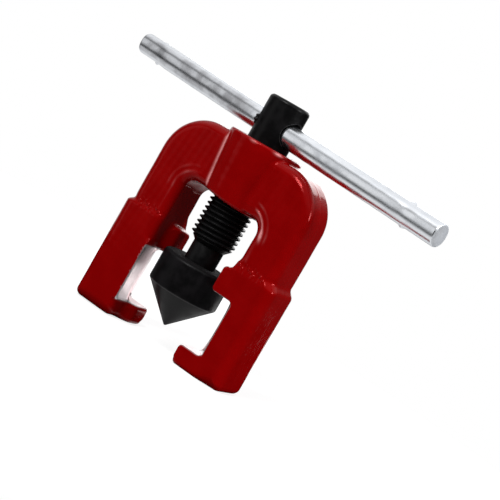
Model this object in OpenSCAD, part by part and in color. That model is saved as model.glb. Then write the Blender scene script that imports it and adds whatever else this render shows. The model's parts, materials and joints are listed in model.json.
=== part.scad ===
// Screw-press yoke for flaring tube: a hooked yoke, a feed screw with a swivelling
// cone, and a sliding cross bar. Millimetres, +Z up, +X to the right, -Y to the front.
// The origin is on the screw's axis, level with the soles of the two legs.

/* [Yoke] */
// Height of the arch above the soles
arch_top = 64.6; // [60:0.2:78]
// Width across the arms
arm_span = 54.1; // [48:0.1:66]
// Front-to-back depth of the arch and arms
arm_depth = 15; // [12:0.5:20]
// Radius of the arch's outer corners
arch_corner = 13.5; // [8:0.5:15]
// Width of the window between the arms
window_w = 28.2; // [26:0.2:32]
// Height of the window's ceiling above the soles
window_top = 47; // [43:0.2:50]
// Radius of the window's upper corners
window_corner = 4.5; // [2:0.25:6]

/* [Legs] */
// How far the legs stand out from the arms on each outer side
leg_flare = 1.65; // [0.5:0.05:3]
// How far the legs stand proud of the arms, front and back
leg_proud = 0.5; // [0.2:0.1:1.5]
// Height of the step where an arm meets its leg
leg_top = 33.1; // [32:0.1:36]
// Radius of a sole's outer corner
sole_corner = 2; // [1:0.5:6]
// Height of the hook's seat, which carries the flaring bar
hook_top = 5.9; // [4:0.1:7]
// Height of the lug's underside, above the bar's slot
lug_bottom = 23.5; // [20:0.1:26]
// Height of the lug's upper face
lug_top = 31.7; // [29:0.1:32]
// How far the bar's slot is cut back behind the window's wall
slot_depth = 5.2; // [3:0.1:7]
// Radius in the corners of the slot and on the hook's ends
slot_corner = 1.2; // [0.6:0.1:2]

/* [Boss] */
// Radius of the boss at its top
boss_top_r = 11.6; // [10.5:0.1:13.5]
// Radius of the boss at its foot
boss_foot_r = 10; // [9:0.1:12]
// How far the boss stands above the arch
boss_rise = 1.4; // [0.5:0.1:4]
// How far the boss hangs below the window's ceiling
boss_drop = 1.2; // [0.4:0.1:2]
// Rounding of the boss's rim
boss_round = 1; // [0.4:0.1:2]

/* [Feed screw] */
// Outer radius of the thread
thread_r = 6.92; // [6:0.01:7.5]
// Pitch of the thread
thread_pitch = 1.5; // [1:0.25:2]
// Radius of the plain shank and head
shank_r = 6.4; // [5.8:0.05:7]
// Height of the head above the cross bar
head_cover = 5.1; // [3:0.1:10]
// Chamfer round the top of the head
head_chamfer = 0.9; // [0.3:0.1:1.5]
// Length of the plain neck between the cone and the thread
neck_length = 6.1; // [4:0.1:9]
// Radius of the pilot that the cone turns on
pilot_r = 4.82; // [4.2:0.02:5.4]

/* [Cone] */
// Radius of the cone's cylindrical body
cone_r = 10.9; // [9.5:0.1:11.2]
// Angle of the cone's face from its axis
cone_half_angle = 45; // [40:1:48]
// Height of the cone's point above the soles with the screw fully down
cone_point = 5.9; // [5:0.1:8]
// Height of the cone's cylindrical body
cone_body_h = 10; // [8:0.1:12]
// Radius of the thrust ball
ball_r = 2.5; // [2:0.1:3]
// Height of the bottom of the ball's seat above the foot of the cone's body
ball_floor = 0.1; // [0:0.1:1]
// Gap between the pilot's end and the bottom of its bore, which the ball bridges
ball_gap = 2.5; // [1.5:0.1:3]
// Radius of the retaining ring's wire
wire_r = 0.55; // [0.4:0.05:0.7]

/* [Cross bar] */
// Radius of the bar
bar_r = 3.5; // [3:0.05:4]
// Length of the bar
bar_length = 125; // [100:1:160]
// How far the bar is pushed through, from centred
bar_offset = 1.5; // [-5:0.5:5]
// Gap between the boss and the bar's underside with the screw fully down
bar_gap = 1.9; // [1:0.1:5]
// Turn of the bar from the yoke's plane
bar_turn = 8.7; // [-30:0.1:30]
// Chamfer on the bar's ends
bar_chamfer = 0.6; // [0.2:0.1:1]
// Inset of the ears from the bar's near end
ear_inset_near = 11.5; // [6:0.5:20]
// Inset of the ears from the bar's far end
ear_inset_far = 8; // [6:0.5:20]
// Height of an ear above the bar
ear_rise = 0.6; // [0.5:0.05:1]
// Length of an ear along the bar
ear_length = 1.6; // [1:0.1:3]
// Width of an ear across the bar
ear_width = 2.4; // [1:0.1:4]

/* [Fits] */
// Radial running clearance of the thread in the boss
thread_clearance = 0.08; // [0.04:0.01:0.1]
// Radial running clearance of the pilot in the cone
pilot_clearance = 0.08; // [0.04:0.01:0.1]
// Gap between a lug and the cone's body
lug_gap = 0.6; // [0.3:0.1:1]
// Clearance round the ball and the wire ring
seat_clearance = 0.05; // [0.03:0.01:0.08]
// Radial looseness of the bar in its cross hole
bar_looseness = 0.4; // [0.36:0.01:0.48]
// Gap left in the cross hole's mouths where the tipped bar comes nearest
bar_rest_gap = 0.12; // [0.05:0.01:0.2]

/* [Hidden] */
$fn = 64;
// How far two joined solids run into each other
overlap = 0.5;
// How far a cut runs past the face that it opens
past = 1;

// Yoke
arm_x = arm_span / 2;
leg_x = arm_x + leg_flare;
leg_depth = arm_depth + 2 * leg_proud;
window_x = window_w / 2;
lug_x = cone_r + lug_gap;
slot_x = window_x + slot_depth;
boss_top = arch_top + boss_rise;
boss_foot = window_top - boss_drop;
thread_bore_r = thread_r + thread_clearance;
bore_chamfer = 0.5;

// Cone, from the point upwards
cone_base = cone_point + cone_r / tan(cone_half_angle);
cone_top = cone_base + cone_body_h;
cone_edge = 0.5;
cone_bore_r = pilot_r + pilot_clearance;
ball_seat_r = ball_r + seat_clearance;
ball_z = cone_base + ball_floor + ball_seat_r;
bore_floor = ball_z - ball_gap / 2;
pilot_end = ball_z + ball_gap / 2;
pilot_chamfer = 0.4;
ring_z = (pilot_end + cone_top) / 2;
ring_r = pilot_r + pilot_clearance / 2;
ring_groove_r = wire_r + seat_clearance;
ring_opening = 40;

// Thread, whose depth and flats are the standard shares of its pitch
thread_depth = 0.613 * thread_pitch;
thread_root_r = thread_r - thread_depth;
thread_flat = thread_pitch / 8;
thread_top = boss_top - bore_chamfer;
thread_bottom = cone_top + neck_length;
thread_turns = floor((thread_top - thread_bottom) / thread_pitch);
thread_end = thread_top - thread_turns * thread_pitch;
runout_h = 1.8;

// Cross bar and head
bar_height = boss_top + bar_gap + bar_r;
head_top = bar_height + bar_r + head_cover;
bar_tip = atan((bar_looseness - bar_rest_gap) / shank_r);
cross_hole_r = bar_r + bar_looseness;
bar_far = bar_offset - bar_length / 2;
bar_near = bar_offset + bar_length / 2;
ear_r = bar_r + ear_rise;

// An upright plate with round corners, drawn in X and Z
module plate(x0, x1, z0, z1, r) {
    translate([x0 + r, z0]) square([x1 - x0 - 2 * r, z1 - z0]);
    translate([x0, z0 + r]) square([x1 - x0, z1 - z0 - 2 * r]);
    for (x = [x0 + r, x1 - r], z = [z0 + r, z1 - r])
        translate([x, z]) circle(r = r);
}

// Stands a drawing of X and Z upright, from depth y0 to depth y1
module upright(y0, y1) {
    translate([0, y1, 0]) rotate([90, 0, 0]) linear_extrude(y1 - y0) children();
}

// Leg body outside the line x0: square on top, round at the sole's outer corner
module leg_outline(x0) {
    translate([x0, sole_corner]) square([leg_x - x0, leg_top - sole_corner]);
    translate([x0, 0]) square([leg_x - sole_corner - x0, leg_top]);
    translate([leg_x - sole_corner, sole_corner]) circle(r = sole_corner);
}

// Front half of the right leg: lug above, slot for the bar, hook below
module hooked_outline() {
    difference() {
        union() {
            leg_outline(window_x);
            plate(lug_x, leg_x - sole_corner, 0, lug_top, slot_corner);
        }
        plate(0, slot_x, hook_top, lug_bottom, slot_corner);
    }
}

module right_leg() {
    upright(-leg_depth / 2, 0) hooked_outline();
    upright(0, leg_depth / 2) leg_outline(window_x);
}

module arch_outline() {
    difference() {
        plate(-arm_x, arm_x, 0, arch_top, arch_corner);
        plate(-window_x, window_x, 0, window_top, window_corner);
        translate([-arm_span, -past]) square([2 * arm_span, past + leg_top - overlap]);
    }
}

module boss() {
    rotate_extrude() {
        translate([boss_top_r - boss_round, boss_top - boss_round]) circle(r = boss_round);
        polygon([
            [0, boss_foot], [boss_foot_r, boss_foot],
            [boss_top_r, boss_top - boss_round],
            [boss_top_r - boss_round, boss_top], [0, boss_top]
        ]);
    }
}

module boss_bore() {
    translate([0, 0, boss_foot - past])
        cylinder(r = thread_bore_r, h = boss_top - boss_foot + 2 * past);
    translate([0, 0, boss_top - bore_chamfer])
        cylinder(r1 = thread_bore_r, r2 = thread_bore_r + 2 * bore_chamfer, h = 2 * bore_chamfer);
    translate([0, 0, boss_foot - bore_chamfer])
        cylinder(r1 = thread_bore_r + 2 * bore_chamfer, r2 = thread_bore_r, h = 2 * bore_chamfer);
}

module yoke() {
    color("firebrick") difference() {
        union() {
            upright(-arm_depth / 2, arm_depth / 2) arch_outline();
            for (turn = [0, 180]) rotate([0, 0, turn]) right_leg();
            boss();
        }
        boss_bore();
    }
}

// One thread ridge above height z, as radius and height pairs
function ridge(z) = [
    [thread_root_r, z],
    [thread_r, z + (thread_pitch - thread_flat) / 2],
    [thread_r, z + (thread_pitch + thread_flat) / 2],
    [thread_root_r, z + thread_pitch]
];

module feed_screw() {
    color("dimgray") difference() {
        rotate_extrude() polygon(concat(
            [[0, pilot_end], [pilot_r - pilot_chamfer, pilot_end], [pilot_r, pilot_end + pilot_chamfer],
             [pilot_r, thread_end - runout_h]],
            [for (turn = [0 : thread_turns - 1]) each ridge(thread_end + turn * thread_pitch)],
            [[shank_r, thread_top + shank_r - thread_root_r], [shank_r, head_top - head_chamfer],
             [shank_r - head_chamfer, head_top], [0, head_top]]
        ));
        translate([0, 0, ball_z]) sphere(r = ball_seat_r);
        ring_groove();
        translate([0, 0, bar_height]) rotate([0, 90, -bar_turn])
            cylinder(r = cross_hole_r, h = 2 * (shank_r + past), center = true);
    }
}

// Round groove, half in the pilot and half in the cone's bore
module ring_groove() {
    translate([0, 0, ring_z]) rotate_extrude() translate([ring_r, 0]) circle(r = ring_groove_r);
}

module flaring_cone() {
    color("dimgray") difference() {
        rotate_extrude() polygon([
            [0, cone_point], [cone_r, cone_base], [cone_r, cone_top - cone_edge],
            [cone_r - cone_edge, cone_top], [0, cone_top]
        ]);
        translate([0, 0, bore_floor]) cylinder(r = cone_bore_r, h = cone_top - bore_floor + past);
        translate([0, 0, cone_top - cone_edge])
            cylinder(r1 = cone_bore_r, r2 = cone_bore_r + 2 * cone_edge, h = 2 * cone_edge);
        translate([0, 0, ball_z]) sphere(r = ball_seat_r);
        ring_groove();
    }
}

module thrust_ball() {
    color("silver") translate([0, 0, ball_z]) sphere(r = ball_r);
}

module retaining_ring() {
    color("silver") translate([0, 0, ring_z]) rotate([0, 0, ring_opening / 2])
        rotate_extrude(angle = 360 - ring_opening) translate([ring_r, 0]) circle(r = wire_r);
}

// Two ears squeezed out of the bar, above and below, at distance s along it
module ears(s) {
    translate([s, 0, 0]) intersection() {
        rotate([0, 90, 0]) cylinder(r = ear_r, h = ear_length, center = true);
        cube([ear_length + past, ear_width, 2 * (ear_r + past)], center = true);
    }
}

module t_bar() {
    color("gainsboro") translate([0, 0, bar_height]) rotate([0, bar_tip, -bar_turn]) {
        translate([bar_far, 0, 0]) rotate([0, 90, 0]) rotate_extrude() polygon([
            [0, 0], [bar_r - bar_chamfer, 0], [bar_r, bar_chamfer],
            [bar_r, bar_length - bar_chamfer], [bar_r - bar_chamfer, bar_length], [0, bar_length]
        ]);
        ears(bar_near - ear_inset_near);
        ears(bar_far + ear_inset_far);
    }
}

yoke();
feed_screw();
flaring_cone();
thrust_ball();
retaining_ring();
t_bar();
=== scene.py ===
"""The finished look of a slip-on flaring tool yoke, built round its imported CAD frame.

The frame gives every piece's real size and place. This script makes the finished casting and
turned parts in millimetres, scales them to metres, and dresses them in procedural materials.
Each sub-assembly is a class with its sizes as fields, and each finish is a frozen dataclass.
"""

import json
import logging
import math
from dataclasses import dataclass
from enum import Enum
from functools import partialmethod
from typing import Any, Callable

import bpy
import numpy as np
from mathutils import Matrix, Vector


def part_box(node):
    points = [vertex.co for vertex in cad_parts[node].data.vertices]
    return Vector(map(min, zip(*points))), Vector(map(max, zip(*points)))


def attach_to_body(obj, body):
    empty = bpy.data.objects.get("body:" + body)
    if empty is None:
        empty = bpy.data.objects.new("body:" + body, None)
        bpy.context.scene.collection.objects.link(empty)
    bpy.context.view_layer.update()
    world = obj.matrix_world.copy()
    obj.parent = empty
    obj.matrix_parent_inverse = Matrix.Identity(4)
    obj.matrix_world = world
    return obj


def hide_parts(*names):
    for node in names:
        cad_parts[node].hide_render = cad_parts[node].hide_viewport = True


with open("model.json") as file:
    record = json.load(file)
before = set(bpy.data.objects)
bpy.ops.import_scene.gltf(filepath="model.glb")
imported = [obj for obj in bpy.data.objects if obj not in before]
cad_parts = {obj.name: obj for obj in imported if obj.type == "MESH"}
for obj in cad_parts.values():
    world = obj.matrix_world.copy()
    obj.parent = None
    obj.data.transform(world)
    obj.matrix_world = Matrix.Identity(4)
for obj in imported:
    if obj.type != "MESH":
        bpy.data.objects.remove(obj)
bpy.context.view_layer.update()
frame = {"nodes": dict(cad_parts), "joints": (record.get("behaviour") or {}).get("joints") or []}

log = logging.getLogger("flaring_yoke")

MM = 0.001
# Room between a race and the ball or wire that runs in it, in millimetres
PLAY = 0.045
# The height that the camera and the lamps aim at, in millimetres
AIM_Z = 40
# A distance that is well inside a solid, in millimetres
DEEP = -5.0
WHITE = (1, 1, 1, 1)
BLACK = (0, 0, 0, 1)

Array = np.ndarray
Field = Callable[[Array, Array, Array], Array]
Pair = tuple[float, float]
Colour = tuple[float, float, float, float]
Group = bpy.types.NodeTree
Material = bpy.types.Material
Mesh = bpy.types.Mesh
Node = bpy.types.Node
Object = bpy.types.Object
Socket = bpy.types.NodeSocket


# Solid shapes as distance fields: negative inside, in millimetres


def round_join(a: Array, b: Array, radius: Any) -> Array:
    """Joins two fields with a fillet in the corner between them.

    Args:
        a: Distances to the first solid.
        b: Distances to the second solid.
        radius: The fillet's radius.

    Returns:
        Distances to the joined solid.
    """
    return np.maximum(radius, np.minimum(a, b)) - np.hypot(
        np.maximum(radius - a, 0), np.maximum(radius - b, 0)
    )


def round_meet(a: Array, b: Array, radius: Any) -> Array:
    """Keeps what two fields share, with the edge between them rounded."""
    return -round_join(-a, -b, radius)


def round_box(u: Array, v: Array, low: Pair, high: Pair, radius: Any) -> Array:
    """Gives the distances to a rectangle with round corners.

    Args:
        u: First coordinate of the points.
        v: Second coordinate of the points.
        low: The rectangle's low corner.
        high: The rectangle's high corner.
        radius: The corners' radius, one number or one for each point.

    Returns:
        Distances to the rectangle.
    """
    across = np.abs(u - (low[0] + high[0]) / 2) - (high[0] - low[0]) / 2 + radius
    along = np.abs(v - (low[1] + high[1]) / 2) - (high[1] - low[1]) / 2 + radius
    outside = np.hypot(np.maximum(across, 0), np.maximum(along, 0))
    return np.minimum(np.maximum(across, along), 0) + outside - radius


def ease(value: Array) -> Array:
    """Eases from 0 to 1 as value goes from 0 to 1."""
    t = np.clip(value, 0, 1)
    return t * t * t * (t * (6 * t - 15) + 10)


def rise(value: Array, span: Any, level: Any = 0) -> Array:
    """Eases from 0 to 1 over a span measured from a level, whose end may be the lower one."""
    return ease((value - level - span[0]) / (span[1] - span[0]))


def hump(away: Array, width: float) -> Array:
    """Gives a soft hump, 1 high where away is 0, which fades over a width."""
    return np.exp(-((away / width) ** 2))


def mix(a: Any, b: Any, share: Any) -> Any:
    """Goes from a to b as share goes from 0 to 1."""
    return a + (b - a) * share


@dataclass
class Skin:
    """A closed surface: its points in millimetres, its faces and its outward normals.

    A face has four points, and a triangle has its last point twice.
    """

    points: Array
    faces: Array
    normals: Array

    def moved(self, matrix: Matrix) -> "Skin":
        """Turns and moves a copy by a rigid matrix, in millimetres.

        Args:
            matrix: The rigid matrix.

        Returns:
            The moved copy.
        """
        turn = np.array(matrix.to_3x3())
        shift = np.array(matrix.translation)
        return Skin(self.points @ turn.T + shift, self.faces, self.normals @ turn.T)


class SurfaceNet:
    """Draws the skin of a distance field with a lattice of even cells."""

    def __init__(self, field: Field, low: tuple[float, ...], high: tuple[float, ...], step: float):
        """Keeps the field and the box that holds its solid.

        Args:
            field: The distance field.
            low: The low corner of a box round the solid.
            high: The high corner of that box.
            step: The cells' size.
        """
        self.field = field
        self.low = np.array(low, float)
        self.step = step
        self.count = np.ceil((np.array(high) - self.low) / step).astype(int) + 1

    def slope(self, p: Array, reach: float = 0.01) -> Array:
        """Works out the field's slope.

        Args:
            p: The points.
            reach: How far to each side the field is read.

        Returns:
            The slope at each point.
        """
        out = np.empty_like(p)
        for axis in range(3):
            more, less = p.copy(), p.copy()
            more[:, axis] += reach
            less[:, axis] -= reach
            out[:, axis] = (self.field(*more.T) - self.field(*less.T)) / (2 * reach)
        return out

    def settled(self, p: Array, rounds: int = 4, least: float = 0.05) -> Array:
        """Moves points along the field's slope until they lie on the skin.

        Args:
            p: Points near the skin.
            rounds: How many times to step.
            least: The least squared slope to divide by.

        Returns:
            The points on the skin.
        """
        for _ in range(rounds):
            slope = self.slope(p)
            size = np.maximum((slope**2).sum(1), least)
            move = -slope * (self.field(*p.T) / size)[:, None]
            length = np.linalg.norm(move, axis=1, keepdims=True)
            p = p + move * np.minimum(1, self.step / np.maximum(length, 1e-9))
        return p

    def crossings(self, values: Array, cells: Array) -> Array:
        """Puts each cell's point at the mean of where the skin crosses its edges.

        Args:
            values: The field on the lattice.
            cells: The lattice places of the cells that the skin passes through.

        Returns:
            One point for each cell, in millimetres.
        """
        total = np.zeros(cells.shape)
        number = np.zeros(len(cells))
        for axis in range(3):
            others = [k for k in range(3) if k != axis]
            for corner in ((0, 0), (0, 1), (1, 0), (1, 1)):
                start = cells.copy()
                start[:, others] += corner
                end = start.copy()
                end[:, axis] += 1
                a, b = values[tuple(start.T)], values[tuple(end.T)]
                cut = (a < 0) != (b < 0)
                place = start[cut].astype(float)
                place[:, axis] += a[cut] / (a[cut] - b[cut])
                total[cut] += place
                number[cut] += 1
        return self.low + self.step * total / number[:, None]

    def quads(self, inside: Array, index: Array) -> Array:
        """Joins the four cells round each cut lattice edge into a face that looks outwards.

        Args:
            inside: Which lattice places are inside the solid.
            index: The number of each cell's point.

        Returns:
            The faces, four points each.
        """
        found = []
        for axis in range(3):
            below = np.take(inside, range(inside.shape[axis] - 1), axis)
            above = np.take(inside, range(1, inside.shape[axis]), axis)
            edge = np.argwhere(below != above)
            back_u, back_v = np.eye(3, dtype=int)[[(axis + 1) % 3, (axis + 2) % 3]]
            ring = [edge - back_u - back_v, edge - back_v, edge, edge - back_u]
            face = np.stack([index[tuple(cell.T)] for cell in ring], axis=1)
            flip = ~below[tuple(edge.T)]
            face[flip] = face[flip][:, ::-1]
            found.append(face)
        return np.concatenate(found)

    def skin(self) -> Skin:
        """Draws the skin and lays its points on the field's surface.

        Returns:
            The skin.
        """
        axes = [self.low[k] + self.step * np.arange(self.count[k]) for k in range(3)]
        values = self.field(*np.meshgrid(*axes, indexing="ij"))
        inside = values < 0
        held = inside.astype(np.int8)
        for axis in range(3):
            ends = range(held.shape[axis] - 1), range(1, held.shape[axis])
            held = np.take(held, ends[0], axis) + np.take(held, ends[1], axis)
        active = (held > 0) & (held < 8)
        cells = np.argwhere(active)
        index = np.full(active.shape, -1)
        index[active] = np.arange(len(cells))
        points = self.settled(self.crossings(values, cells))
        normals = self.slope(points)
        normals /= np.linalg.norm(normals, axis=1, keepdims=True)
        return Skin(points, self.quads(inside, index), normals)


def bend_of(skin: Skin) -> Array:
    """Measures how sharply a skin bends at each point.

    Args:
        skin: The surface to measure.

    Returns:
        One over the radius in millimetres, above 0 on an edge and below 0 in a corner.
    """
    total = np.zeros(len(skin.points))
    weight = np.zeros(len(skin.points))
    for first, second in ((0, 1), (1, 2), (2, 3), (3, 0)):
        a, b = skin.faces[:, first], skin.faces[:, second]
        way = skin.points[b] - skin.points[a]
        size = (way**2).sum(1)
        for here, there, sign in ((a, b, 1), (b, a, -1)):
            turn = sign * ((skin.normals[there] - skin.normals[here]) * way).sum(1)
            np.add.at(total, here, turn)
            np.add.at(weight, here, size)
    return total / np.maximum(weight, 1e-9)


def smooth_skin(points: Array, faces: Array) -> Skin:
    """Makes a skin whose normals are worked out from its faces, weighted by their area.

    Args:
        points: Its points in millimetres.
        faces: Its faces, four points each.

    Returns:
        The skin.
    """
    p = points[faces]
    face = np.cross(p[:, 2] - p[:, 0], p[:, 3] - p[:, 1])
    normals = np.zeros(points.shape)
    for k in range(4):
        np.add.at(normals, faces[:, k], face)
    size = np.linalg.norm(normals, axis=1, keepdims=True)
    return Skin(points, faces, normals / np.maximum(size, 1e-12))


def revolved(outline: list[Pair], around: int = 96) -> Skin:
    """Turns an outline about the Z axis into a closed skin.

    Args:
        outline: Radius and height pairs from the bottom pole to the top pole, both at radius 0.
        around: How many sides the turned surface has.

    Returns:
        The closed skin.
    """
    rings = outline[1:-1]
    angle = np.arange(around) * (2 * math.pi / around)
    points = [(0.0, 0.0, outline[0][1])]
    for radius, height in rings:
        points += [(radius * math.cos(a), radius * math.sin(a), height) for a in angle]
    points.append((0.0, 0.0, outline[-1][1]))
    top = len(points) - 1
    last = 1 + (len(rings) - 1) * around
    faces = []
    for k in range(around):
        turn = (k + 1) % around
        faces.append((0, 1 + turn, 1 + k, 1 + k))
        for low in range(1, last, around):
            faces.append((low + k, low + turn, low + around + turn, low + around + k))
        faces.append((last + k, last + turn, top, top))
    return smooth_skin(np.array(points), np.array(faces))


# Meshes and objects


def scene_object(name: str, data: Any) -> Object:
    """Puts a mesh, a lamp or a camera in the scene as an object at the origin.

    Args:
        name: The object's name.
        data: Its mesh, lamp or camera.

    Returns:
        The object.
    """
    made = bpy.data.objects.new(name, data)
    bpy.context.scene.collection.objects.link(made)
    return made


def object_from(
    name: str, skins: list[Skin], material: Material, marks: dict[str, Array]
) -> Object:
    """Makes one object of one or more closed skins.

    Args:
        name: The piece's name.
        skins: The surfaces, in millimetres.
        material: The finish.
        marks: Named values at each point, for the finish to read.

    Returns:
        The object, at the origin, in metres.
    """
    shift = np.cumsum([0] + [len(s.points) for s in skins])
    points = np.concatenate([s.points for s in skins]) * MM
    normals = np.concatenate([s.normals for s in skins])
    faces = [s.faces + shift[k] for k, s in enumerate(skins)]
    mesh = bpy.data.meshes.new(name)
    mesh.from_pydata(points.tolist(), [], [f for block in faces for f in block.tolist()])
    mesh.polygons.foreach_set("use_smooth", [True] * len(mesh.polygons))
    for label, values in marks.items():
        mark = mesh.attributes.new(label, "FLOAT", "POINT")
        mark.data.foreach_set("value", np.asarray(values, np.float32))
    mesh.materials.append(material)
    mesh.validate()
    mesh.update()
    mesh.normals_split_custom_set_from_vertices(normals.tolist())
    return scene_object(name, mesh)


def skin_from(mesh: Mesh) -> Skin:
    """Reads a mesh in metres as a skin in millimetres.

    Args:
        mesh: The mesh, of triangles and four-sided faces.

    Returns:
        Its skin.
    """
    co = np.empty(len(mesh.vertices) * 3)
    mesh.vertices.foreach_get("co", co)
    loops = [tuple(p.vertices) for p in mesh.polygons]
    faces = np.array([loop if len(loop) == 4 else (*loop, loop[-1]) for loop in loops])
    return smooth_skin(co.reshape(-1, 3) / MM, faces)


# Shader trees


class Tree:
    """A node tree with short calls for adding nodes and values."""

    def __init__(self, nodes: Group):
        """Keeps the tree to build in."""
        self.tree = nodes

    def add(self, kind: str, settings: dict[str, Any] | None = None, **values: Any) -> Node:
        """Adds a node.

        Args:
            kind: The node's type.
            settings: The node's own settings.
            values: Its inputs, by name with _ for a space, or by number as i0, i1 and so on.

        Returns:
            The new node.
        """
        node = self.tree.nodes.new(kind)
        for label, value in (settings or {}).items():
            setattr(node, label, value)
        for label, value in values.items():
            numbered = label[0] == "i" and label[1:].isdigit()
            socket = node.inputs[int(label[1:]) if numbered else label.replace("_", " ")]
            if isinstance(value, Socket):
                self.link(value, socket)
            else:
                socket.default_value = value
        return node

    def link(self, source: Socket, target: Socket) -> None:
        """Joins an output to an input."""
        self.tree.links.new(source, target)

    def math(self, operation: str, *values: Any, clamp: bool = False) -> Socket:
        """Adds a Math node and returns its result."""
        inputs = {f"i{k}": value for k, value in enumerate(values)}
        settings = {"operation": operation, "use_clamp": clamp}
        return self.add("ShaderNodeMath", settings, **inputs).outputs[0]

    plus = partialmethod(math, "ADD")
    minus = partialmethod(math, "SUBTRACT")
    times = partialmethod(math, "MULTIPLY")
    times_plus = partialmethod(math, "MULTIPLY_ADD")
    most = partialmethod(math, "MAXIMUM")
    least = partialmethod(math, "MINIMUM")
    absolute = partialmethod(math, "ABSOLUTE")

    def blend(self, share: Any, a: Any, b: Any) -> Socket:
        """Adds a colour mix and returns its result."""
        return self.add("ShaderNodeMix", {"data_type": "RGBA"}, i0=share, i6=a, i7=b).outputs[2]

    def range(self, value: Any, span: Pair, to: Pair = (0, 1)) -> Socket:
        """Maps a value smoothly from one span to another and returns the result."""
        inputs = {f"i{k}": end for k, end in enumerate((value, *span, *to))}
        smooth = {"interpolation_type": "SMOOTHSTEP"}
        return self.add("ShaderNodeMapRange", smooth, **inputs).outputs[0]

    def noise(self, place: Any, scale: Any, detail: float, **values: Any) -> Socket:
        """Adds a noise texture and returns its value."""
        values = {"Vector": place, "Scale": scale, "Detail": detail, **values}
        return self.add("ShaderNodeTexNoise", **values).outputs[0]

    def mark(self, name: str) -> Socket:
        """Reads a value that was marked on the piece's points."""
        return self.add("ShaderNodeAttribute", {"attribute_name": name}).outputs["Fac"]

    def split(self, vector: Socket) -> Any:
        """Splits a vector and returns its three parts."""
        return self.add("ShaderNodeSeparateXYZ", i0=vector).outputs

    def use(self, group: Group, **values: Any) -> Any:
        """Places a shared effect and returns its outputs."""
        return self.add("ShaderNodeGroup", {"node_tree": group}, **values).outputs


# The stretch of a noise's values that makes the whole of each effect, and what it is mapped to
MOTTLE = (0.35, 0.7)
RING_SHADE = (0.35, 0.65)
RING_PATCHES = (0.3, 0.6)
RING_DEPTHS = (0.4, 1)
WEAR_PATCHES = (0.3, 0.7)
WEAR_SHIFT = (-0.25, 0.25)


def effect(name: str, inputs: tuple[str, ...], outputs: tuple[str, ...]) -> tuple[Tree, Any, Any]:
    """Starts a shader node group, whose sockets are numbers apart from one called Vector.

    Args:
        name: The group's name.
        inputs: The inputs' names.
        outputs: The outputs' names.

    Returns:
        The group's tree, its inputs' sockets and its outputs' sockets.
    """
    group = bpy.data.node_groups.new(name, "ShaderNodeTree")
    for way, labels in (("INPUT", inputs), ("OUTPUT", outputs)):
        for label in labels:
            kind = "NodeSocketVector" if label == "Vector" else "NodeSocketFloat"
            group.interface.new_socket(label, in_out=way, socket_type=kind)
    tree = Tree(group)
    return tree, tree.add("NodeGroupInput").outputs, tree.add("NodeGroupOutput").inputs


def grain_effect() -> Group:
    """Makes the fine and coarse unevenness that castings and turned steel share.

    Returns:
        The node group.
    """
    inputs = ("Vector", "Fine Scale", "Coarse Scale", "Coarse Share")
    tree, given, made = effect("surface_grain", inputs, ("Height", "Mottle"))
    fine = tree.noise(given["Vector"], given["Fine Scale"], 3.0)
    coarse = tree.noise(given["Vector"], given["Coarse Scale"], 4.0)
    tree.link(tree.plus(fine, tree.times(coarse, given["Coarse Share"])), made["Height"])
    tree.link(tree.range(coarse, MOTTLE), made["Mottle"])
    return tree.tree


def turning_effect() -> Group:
    """Makes the rings that a lathe tool leaves round the Z axis.

    Returns:
        The node group.
    """
    tree, given, made = effect("turning_marks", ("Vector", "Rings", "Break"), ("Height", "Shade"))
    x, y, z = tree.split(given["Vector"])
    squares = tree.plus(tree.math("POWER", x, 2.0), tree.math("POWER", y, 2.0))
    reach = tree.math("SQRT", squares)
    along = tree.times(tree.plus(reach, z), given["Rings"])
    flat = tree.times(tree.minus(reach, z), given["Rings"])
    spot = tree.add("ShaderNodeCombineXYZ", X=along, Y=flat)
    rings = tree.noise(spot.outputs[0], 1.0, 2.0)
    patch = tree.noise(given["Vector"], given["Break"], 2.0)
    depth = tree.range(patch, RING_PATCHES, RING_DEPTHS)
    tree.link(tree.times(rings, depth), made["Height"])
    tree.link(tree.range(rings, RING_SHADE), made["Shade"])
    return tree.tree


def wear_effect() -> Group:
    """Makes a mask of worn edges from how sharply the surface bends.

    Returns:
        The node group.
    """
    tree, given, made = effect("edge_wear", ("Vector", "Bend", "Start", "Full", "Break"), ("Mask",))
    patch = tree.noise(given["Vector"], given["Break"], 5.0)
    bend = tree.plus(given["Bend"], tree.range(patch, WEAR_PATCHES, WEAR_SHIFT))
    past = tree.minus(bend, given["Start"])
    span = tree.minus(given["Full"], given["Start"])
    tree.link(tree.math("DIVIDE", past, span, clamp=True), made["Mask"])
    return tree.tree


@dataclass
class Effects:
    """The shader node groups that the finishes share."""

    grain: Group
    turning: Group
    wear: Group

    @classmethod
    def build(cls) -> "Effects":
        """Builds each group once."""
        return cls(grain_effect(), turning_effect(), wear_effect())

    def grained(self, tree: Tree, place: Socket, scales: tuple[float, float, float]) -> Any:
        """Places the grain, with its fine scale, coarse scale and coarse share."""
        labels = ("Fine_Scale", "Coarse_Scale", "Coarse_Share")
        return tree.use(self.grain, Vector=place, **dict(zip(labels, scales)))

    def worn(self, tree: Tree, place: Socket, span: Pair, patches: float) -> Socket:
        """Places the edge wear, which starts and is full at two bends, and returns its mask."""
        ends = {"Start": span[0], "Full": span[1], "Break": patches}
        return tree.use(self.wear, Vector=place, Bend=tree.mark("bend"), **ends)[0]


def start_finish(name: str) -> tuple[Material, Tree, Socket]:
    """Starts a material.

    Args:
        name: The finish's name.

    Returns:
        The material, its tree and its object coordinates.
    """
    material = bpy.data.materials.new(name)
    material.use_nodes = True
    material.node_tree.nodes.clear()
    tree = Tree(material.node_tree)
    return material, tree, tree.add("ShaderNodeTexCoord").outputs["Object"]


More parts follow.
